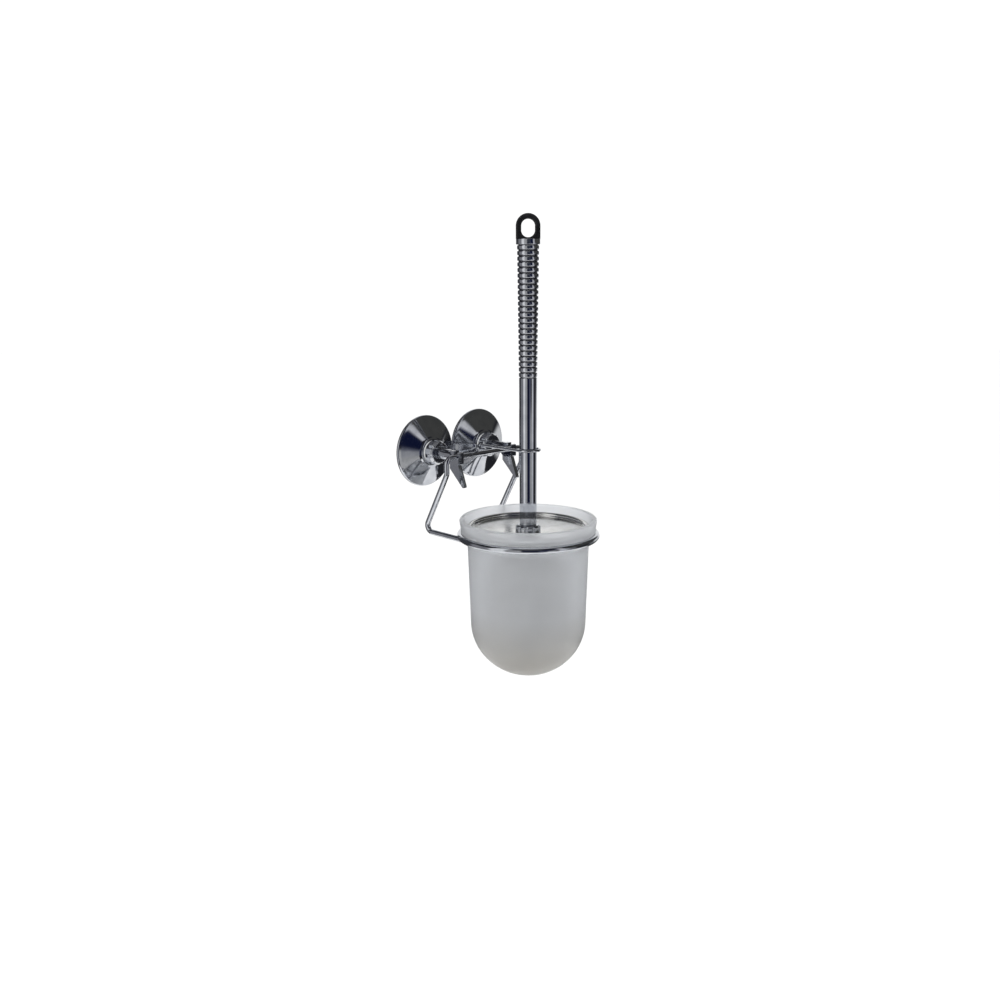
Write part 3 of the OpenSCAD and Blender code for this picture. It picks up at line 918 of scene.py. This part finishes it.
@dataclass
class Handle:
    """The brush's handle: hanging loop, ribbed grip, tube and ferrule."""

    ribs: int = 24
    collar: float = 4.0 * MM
    rib_steps: int = 14
    groove: float = 1.1 * MM
    rib_fill: float = 0.80
    turn_deg: float = -45.0
    loop_t: float = 5.0 * MM
    loop_r: float = 8.95 * MM
    eye_r: float = 4.9 * MM
    eye_foot: float = 1.15 * MM
    grip_top_r: float = 8.2 * MM
    lobes: int = 10
    lobe_cut: float = 2.0 * MM
    rod_r: float = 2.6 * MM

    def __post_init__(self) -> None:
        """Takes the axis and the sizes of the handle's pieces from the frame."""
        low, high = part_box("handle_tube")
        self.y = (low.y + high.y) / 2
        self.axis = upright_axis(self.y)
        self.tube_low, self.tube_high = low.z, high.z
        self.tube_top_r = (high.x - low.x) / 2
        low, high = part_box("grip")
        self.grip_high = high.z
        self.pitch = (self.grip_high - self.collar - self.tube_high) / self.ribs

    def grip(self) -> bpy.types.Object:
        """Ribbed grip below a plain collar.

        Along the ribs the radius is core + groove (1 - |2 u / fill| ** 4) ** (1 / 4), where u is the
        place within one rib's pitch, from -1/2 to 1/2, and the core widens evenly to the top.
        """
        z = np.linspace(0, self.ribs, self.ribs * self.rib_steps + 1)
        u = z % 1.0 - 0.5
        bulge = np.clip(1 - np.abs(2 * u / self.rib_fill) ** 4, 0, 1) ** 0.25
        rim = np.interp(z, [0, self.ribs], [self.tube_top_r + 0.15 * MM, self.grip_top_r])
        radius = rim - self.groove * (1 - bulge)
        height = self.tube_high + z * self.pitch
        top, r = self.grip_high, self.loop_r
        band = fillet(np.array([[r - 1.8 * MM, top - self.collar], [r, top - self.collar], [r, top],
                                [r - 2 * MM, top]]), 0.4 * MM)
        profile = np.vstack([[0.0, height[0]], np.stack([radius, height], -1), band, [0.0, top]])
        # groove mark: how deep a point lies in a groove; it sets the painted shade and the higher roughness
        # there
        painted_groove_shade = np.concatenate([[1.0], 1 - bulge, [0.6], np.zeros(len(band))])
        segments = 72
        grid = turned(self.axis, profile, segments)
        marks = {"groove": np.broadcast_to(painted_groove_shade[:, None], grid.shape[:2])}
        piece = surface("grip_ribbed", grid, marks=marks)
        return dress(piece, PLATED_GRIP, "brush", "chromed_abs", "grip")

    def tube(self) -> bpy.types.Object:
        """Tapered tube with slightly turned-in ends."""
        foot_r, top_r, wall, bevel = 6.5 * MM, self.tube_top_r, 0.8 * MM, 0.3 * MM
        outline = np.array([[foot_r - wall, self.tube_low], [foot_r - bevel, self.tube_low],
                            [foot_r, self.tube_low + bevel], [top_r, self.tube_high - bevel],
                            [top_r - bevel, self.tube_high], [top_r - 1.1 * MM, self.tube_high]])
        shape = turned(self.axis, fillet(outline, bevel / 2, closed=True), 128)
        piece = surface("handle_tube_chromed", shape, wrap_u=True)
        return dress(piece, TUBE_CHROME, "brush", "chromed_steel_tube", "handle_tube")

    def ferrule(self) -> bpy.types.Object:
        """Lobed ferrule: a turned body with round flutes all the way up."""
        low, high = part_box("ferrule")
        r = 9.6 * MM
        outline = np.array([[self.rod_r, low.z], [r, low.z], [r, high.z - 1.4 * MM],
                            [r - 1.4 * MM, high.z], [self.rod_r, high.z]])
        cut = notched(self.lobes, self.rod_r + 1 * MM, r + 1.2 * MM, self.lobe_cut, low.z - MM, 0.0)
        shape = turned(self.axis, fillet(outline, 0.5 * MM, closed=True), 320, cut)
        piece = surface("ferrule_lobed", shape, wrap_u=True)
        return dress(piece, CAST_CHROME, "brush", "chromed_zinc_casting", "ferrule")

    def loop(self) -> bpy.types.Object:
        """Hanging loop: a rounded bar carried round an upright eye.

        A point is inner + (outer - inner) p in the loop's plane and t q across it. Inner and outer are
        the outlines of the eye and of the loop, both walked from the middle of the foot, and (p, q) is
        the superellipse cos v ** 0.4, sin v ** 0.4, a square with rounded corners.
        """
        low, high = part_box("hanging_loop")
        top = high.z - self.grip_high - self.loop_r
        foot = self.eye_foot + self.eye_r
        inside = np.vstack([arc(0, foot, self.eye_r, -90, 0, 20), arc(0, top, self.eye_r, 0, 180, 40),
                            arc(0, foot, self.eye_r, 180, 270, 20)[:-1]])
        side = np.linspace(0, 1, 8)[1:-1, None]
        base = np.array([self.loop_r, 0.0])
        shoulder = np.array([self.loop_r, top])
        run = np.linspace(0, 1, 15)[:, None] * base
        half = np.vstack([run, base + side * (shoulder - base)])
        outside = np.vstack([half, arc(0, top, self.loop_r, 0, 180, 40), (half * [-1, 1])[::-1][:-1]])
        v = np.linspace(0, 2 * math.pi, 40, endpoint=False)
        cos_v, sin_v = np.cos(v), np.sin(v)
        p = (1 + np.sign(cos_v) * np.abs(cos_v) ** 0.4) / 2
        q = np.sign(sin_v) * np.abs(sin_v) ** 0.4 / 2
        flat = inside[:, None] + (outside - inside)[:, None] * p[None, :, None]
        across = np.broadcast_to(self.loop_t * q[None], flat.shape[:2])
        turn = math.radians(self.turn_deg)
        x = flat[..., 0] * math.cos(turn) - across * math.sin(turn)
        y = flat[..., 0] * math.sin(turn) + across * math.cos(turn)
        grid = np.stack([x, self.y + y, self.grip_high + flat[..., 1]], -1)
        piece = surface("hanging_loop_cap", grid, wrap_u=True)
        return dress(piece, BLACK_ABS, "brush", "black_abs", "hanging_loop")

    def build(self) -> None:
        """Builds and dresses the handle."""
        self.loop()
        self.grip()
        self.tube()
        self.ferrule()
        dress_node("foot_plug", WHITE_NYLON)
        dress_node("threaded_rod", ZINC)


@dataclass
class BrushHead:
    """The lid and the brush under it: dished lid, core and tufts of nylon."""

    sheet: float = 0.7 * MM
    lip_r: float = 1.9 * MM
    lip_up: float = 3.6 * MM
    hub_r: float = 10.0 * MM
    rod_r: float = 2.6 * MM
    core_r: float = 8.0 * MM
    rows: int = 11
    tufts: int = 13
    filaments: int = 16
    filament_r: float = 0.28 * MM   # real filaments are 0.4 mm thick; drawn a little thicker
    top_h: float = 10.0 * MM        # height over which the top draws in
    top_in: float = 8.0 * MM
    round_h: float = 21.0 * MM      # height of the round bottom
    seed: int = 7

    def __post_init__(self) -> None:
        """Takes the lid and the brush from the frame."""
        low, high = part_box("lid")
        self.y = (low.y + high.y) / 2
        self.lid_r, self.lid_z = (high.x - low.x) / 2, low.z
        low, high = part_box("bristles")
        self.brush_r, self.brush_low, self.brush_high = (high.x - low.x) / 2, low.z, high.z

    def lid(self) -> bpy.types.Object:
        """Dished lid with a rolled lip."""
        r, t = self.lid_r, self.sheet
        s = np.linspace(0, 1, 40)
        dish_r = self.hub_r + (r - 14.4 * MM) * s
        dish = np.stack([dish_r, 1.6 * MM * s ** 2], -1)
        up = [0.0, t]
        outline = np.vstack([
            [[self.rod_r, t], [self.hub_r - MM, t]], dish + up, [[r - 4.5 * MM, 2.7 * MM]],
            arc(r - self.lip_r, self.lip_up, self.lip_r, 180, -20, 24),
            arc(r - self.lip_r, self.lip_up, self.lip_r - t, -20, 180, 20),
            [[r - 3.9 * MM, 2.3 * MM]], dish[::-1], [[self.hub_r - MM, 0.0], [self.rod_r, 0.0]]])
        shape = turned(upright_axis(self.y, self.lid_z), fillet(outline, 0.4 * MM, 3, closed=True), 180)
        piece = surface("lid_dished", shape, wrap_u=True)
        finish = Chrome("polished_stainless_lid", "#dcdcdb", 0.12, haze=0.2, tint="#d2d2d0", marks=Marks.SPUN,
                        centre=(0.0, self.y, 0.0), flat=(1.0, 1.0, 0.0), mark_mm=0.6)
        return dress(piece, finish, "brush", "polished_stainless_steel", "lid")

    def reach(self, z: np.ndarray) -> np.ndarray:
        """Radius of the brush at a height: full, drawn in over the top and round at the bottom.

        Args:
            z: heights.

        Returns:
            The radius at each height.
        """
        top = np.clip((self.brush_high - z) / self.top_h, 0, 1)
        turn = self.brush_low + self.round_h
        low = np.clip((turn - z) / self.round_h, 0, 1)
        upper = self.brush_r - self.top_in * (1 - top)
        return np.where(z > turn, upper, self.brush_r * np.sqrt(1 - 0.93 * low ** 2))

    def bristles(self) -> bpy.types.Object:
        """Tufts in staggered rows round the core.

        A filament is root + s d + 0.06 s s side for s from 0 to its length, where d points out from
        the core, tilted with its row and splayed a little within its tuft, and it tapers at its tip.
        """
        rng = np.random.default_rng(self.seed)
        row = np.arange(self.rows)[:, None, None]
        tuft = np.arange(self.tufts)[None, :, None]
        share = row / (self.rows - 1)
        z0 = self.brush_high - 4 * MM - share * (self.brush_high - self.brush_low - 12 * MM)
        angle = 2 * math.pi * (tuft + 0.5 * (row % 2)) / self.tufts
        shape = (self.rows, self.tufts, self.filaments)
        splay = rng.normal(0, 0.045, (2, *shape))
        tilt = np.where(share > 0.7, -(share - 0.7) * 2.6, 0.05 * (0.5 - share)) + splay[0]
        turn = angle + splay[1]
        spot = rng.uniform(-1.0, 1.0, (2, *shape)) * MM
        spoke = np.stack([np.cos(turn), np.sin(turn), 0 * turn], -1)
        lift = np.array([0.0, 0.0, 1.0])
        aim = spoke * np.cos(tilt)[..., None] + lift * np.sin(tilt)[..., None]
        swing = np.stack([-np.sin(turn), np.cos(turn), 0 * turn], -1)
        root = (spoke * self.core_r * 0.95 + swing * spot[0][..., None]
                + lift * (z0 + spot[1])[..., None] + [0.0, self.y, 0.0])
        end_z = root[..., 2] + np.sin(tilt) * (self.brush_r - self.core_r)
        target = self.reach(np.clip(end_z, self.brush_low, self.brush_high)) - rng.uniform(0, 1.6, shape) * MM
        length = (target - self.core_r) / np.maximum(np.cos(tilt), 0.45)
        count = int(np.prod(shape))
        root, aim, swing = root.reshape(count, 3), aim.reshape(count, 3), swing.reshape(count, 3)
        length = length.reshape(count)
        bend = rng.normal(0, 0.05, count)
        s = np.array([0.0, 0.35, 0.7, 0.97, 1.0])
        size = np.array([1.0, 1.0, 0.95, 0.8, 0.0]) * self.filament_r
        along = length[:, None] * s[None]
        line = (root[:, None] + along[..., None] * aim[:, None]
                + (bend[:, None] * along ** 2 / length[:, None])[..., None] * swing[:, None])
        line[..., 2] = np.clip(line[..., 2], self.brush_low + 0.4 * MM, self.brush_high - 0.4 * MM)
        up = np.cross(aim, swing)
        a = np.linspace(0, 2 * math.pi, 4, endpoint=False)
        ring = np.cos(a)[None, :, None] * swing[:, None] + np.sin(a)[None, :, None] * up[:, None]
        grid = line[:, :, None] + size[None, :, None, None] * ring[:, None]
        foot = np.repeat(line[:, :1, None], 4, axis=2)
        grid = np.concatenate([foot, grid], 1)
        batch = np.broadcast_to(rng.uniform(0, 1, (self.rows, self.tufts, 1)), shape).reshape(count)
        shade = 0.7 * batch + 0.3 * rng.uniform(0, 1, count)
        tone = np.broadcast_to(shade[:, None, None], grid.shape[:3])
        piece = surface("bristle_tufts", grid, marks={"tone": tone})
        return dress(piece, NYLON, "brush", "nylon_bristle", "bristles")

    def build(self) -> None:
        """Builds the lid and the brush, and dresses the pieces that stay."""
        self.lid()
        self.bristles()
        dress_node("lid_nut", ZINC)
        dress_node("brush_core", WHITE_PP)
        dress_node("core_tip", WHITE_PP)


# ---- studio ----

@dataclass(frozen=True)
class Panel:
    """A panel painted on the dark dome. Its bearings are counted from the camera's, in degrees."""

    left: float
    right: float
    low: float
    high: float
    colour: str


@dataclass
class Studio:
    """The camera, the pale floor, the soft light, and the dome of panels that chrome mirrors."""

    eye: tuple[float, float, float] = (-0.5581, -0.6326, 0.1329)
    bearing_deg: float = 44.17
    down_deg: float = 11.93
    roll_deg: float = -0.33
    lens_mm: float = 37.63
    middle: tuple[float, float, float] = (0.0, -0.088, -0.0457)
    dome_r: float = 1.0
    dome_step: int = 2
    dome_soft: int = 1
    floor_drop: float = 0.45
    panels: tuple[Panel, ...] = (
        Panel(-180, 180, -90, -55, "#6a6a6c"),
        Panel(-180, 180, -55, 12, "#2a2b2f"),
        Panel(-180, 180, 12, 64, "#292a30"),
        Panel(-180, 180, 64, 90, "#77777a"),
        Panel(-180, -150, -12, 34, "#fbfbfb"),
        Panel(150, 180, -12, 34, "#fbfbfb"),
        Panel(-180, -150, 34, 60, "#9a9a9a"),
        Panel(150, 180, 34, 60, "#9a9a9a"),
        Panel(-150, -100, -40, 40, "#46474b"),
        Panel(-100, -62, -28, 26, "#8e8e92"),
        Panel(-62, -36, -60, 62, "#ffffff"),
        Panel(-36, -10, -26, 30, "#b4b4b4"),
        Panel(-10, 17, -20, 10, "#1b1f36"),
        Panel(-10, 30, 10, 30, "#3f434c"),
        Panel(17, 34, -14, 10, "#6a6d7c"),
        Panel(24, 58, 6, 30, "#131a38"),
        Panel(32, 46, -38, -2, "#c4c4c3"),
        Panel(50, 66, -50, 44, "#e2e2e6"),
        Panel(66, 80, -24, 10, "#8c8c91"),
        Panel(54, 60, 16, 36, "#d8d8d8"),
        Panel(62, 134, 10, 44, "#4b4b49"),
        Panel(112, 128, -20, 0, "#86868a"),
        Panel(126, 150, -16, 4, "#e6e6e5"),
        Panel(46, 62, -46, -34, "#4e4e4c"),
        Panel(62, 104, -60, -38, "#453e38"),
        Panel(104, 126, -48, -32, "#bcbcba"),
    )

    def camera(self) -> None:
        """Camera at eye height above the hooks, turned to its bearing, tipped down and rolled a little."""
        data = bpy.data.cameras.new("camera")
        data.lens = self.lens_mm
        data.sensor_width = 36.0
        data.clip_end = 50.0
        camera = bpy.data.objects.new("camera", data)
        camera.location = self.eye
        turn = Euler((math.radians(90 - self.down_deg), 0.0, math.radians(-self.bearing_deg)), "XYZ")
        roll = Euler((0.0, 0.0, math.radians(self.roll_deg)), "XYZ")
        camera.rotation_euler = (turn.to_matrix() @ roll.to_matrix()).to_euler()
        bpy.context.scene.collection.objects.link(camera)
        bpy.context.scene.camera = camera

    def floor(self) -> None:
        """Pale floor well below the cup, a wide disc."""
        z = CAD_BOX[0].z - self.floor_drop
        r, a = np.meshgrid(np.array([0.0, 1.0, 4.0, 12.0]), np.linspace(0, 2 * math.pi, 48, endpoint=False),
                           indexing="ij")
        grid = np.stack([r * np.cos(a), r * np.sin(a), np.full_like(r, z)], -1)
        floor = surface("floor", grid)
        paint = Moulded("matt_white_floor_paint", "#fafafa", 0.9, flow="#f6f6f6", grain=0.05)
        floor.data.materials.append(paint.material())

    def dome(self) -> None:
        """Dome that only mirrors see: a sphere (cos h cos b, cos h sin b, sin h) painted with the panels.

        Each panel covers its rectangle of bearings b and heights h, later ones over earlier ones, and
        the paint is then averaged over neighbouring points so that the panels have soft edges.
        """
        bearing = np.arange(-180, 180, self.dome_step)
        height = np.arange(-90, 91, self.dome_step)
        b, h = np.meshgrid(bearing, height, indexing="ij")
        paint = np.zeros(b.shape + (3,))
        for panel in self.panels:
            inside = (b >= panel.left) & (b < panel.right) & (h >= panel.low) & (h <= panel.high)
            paint[inside] = linear(panel.colour)[:3]
        for _ in range(self.dome_soft):
            for axis in (0, 1):
                paint = (np.roll(paint, 1, axis) + 2 * paint + np.roll(paint, -1, axis)) / 4
        around = np.radians(b - 90.0 - self.camera_bearing())
        up = np.radians(h)
        ball = np.stack([np.cos(up) * np.cos(around), np.cos(up) * np.sin(around), np.sin(up)], -1)
        dome = surface("mirror_dome", np.array(self.middle) + self.dome_r * ball, wrap_u=True, wrap_v=False,
                       marks={"paint": paint})
        glow = bpy.data.materials.new("dome_paint")
        glow.use_nodes = True
        glow.node_tree.nodes.clear()
        panels = add(glow.node_tree, "ShaderNodeAttribute", {"attribute_name": "paint"})
        shine = add(glow.node_tree, "ShaderNodeEmission", links={"Color": (panels, "Vector")})
        add(glow.node_tree, "ShaderNodeOutputMaterial", links={"Surface": (shine, "Emission")})
        dome.data.materials.append(glow)
        dome.visible_camera = False
        dome.visible_diffuse = False
        dome.visible_transmission = False
        dome.visible_volume_scatter = False
        dome.visible_shadow = False

    def camera_bearing(self) -> float:
        """Angle in degrees from the room's direction to the camera, seen from the holder's middle."""
        off = np.array(self.eye) - np.array(self.middle)
        return math.degrees(math.atan2(-off[0], -off[1]))

    def light(self) -> None:
        """White surroundings and one large soft light from the upper left."""
        world = bpy.data.worlds.new("white_surroundings")
        world.use_nodes = True
        sky = world.node_tree.nodes["Background"]
        sky.inputs["Color"].default_value = (1.0, 1.0, 1.0, 1.0)
        sky.inputs["Strength"].default_value = 1.08
        bpy.context.scene.world = world
        soft = bpy.data.lights.new("soft_light", "AREA")
        soft.shape = "DISK"
        soft.size = 1.2
        soft.energy = 9.0
        lamp = bpy.data.objects.new("soft_light", soft)
        lamp.location = (-0.9, -0.9, 1.4)
        lamp.rotation_euler = (Vector(self.middle) - lamp.location).to_track_quat("-Z", "Y").to_euler()
        lamp.visible_camera = False
        bpy.context.scene.collection.objects.link(lamp)

    def build(self) -> None:
        """Sets up everything that isn't part of the holder."""
        bpy.context.scene.view_settings.view_transform = "Standard"
        self.camera()
        self.floor()
        self.light()
        self.dome()


def main() -> None:
    """Builds the studio and the sub-assemblies in order."""
    logging.basicConfig(level=logging.INFO, format="%(name)s %(message)s")
    Studio().build()
    for side in Side:
        SuctionHook(side).build()
    for assembly in (WireFrame(), GlassCup(), Handle(), BrushHead()):
        assembly.build()


if __name__ == "__main__":
    main()
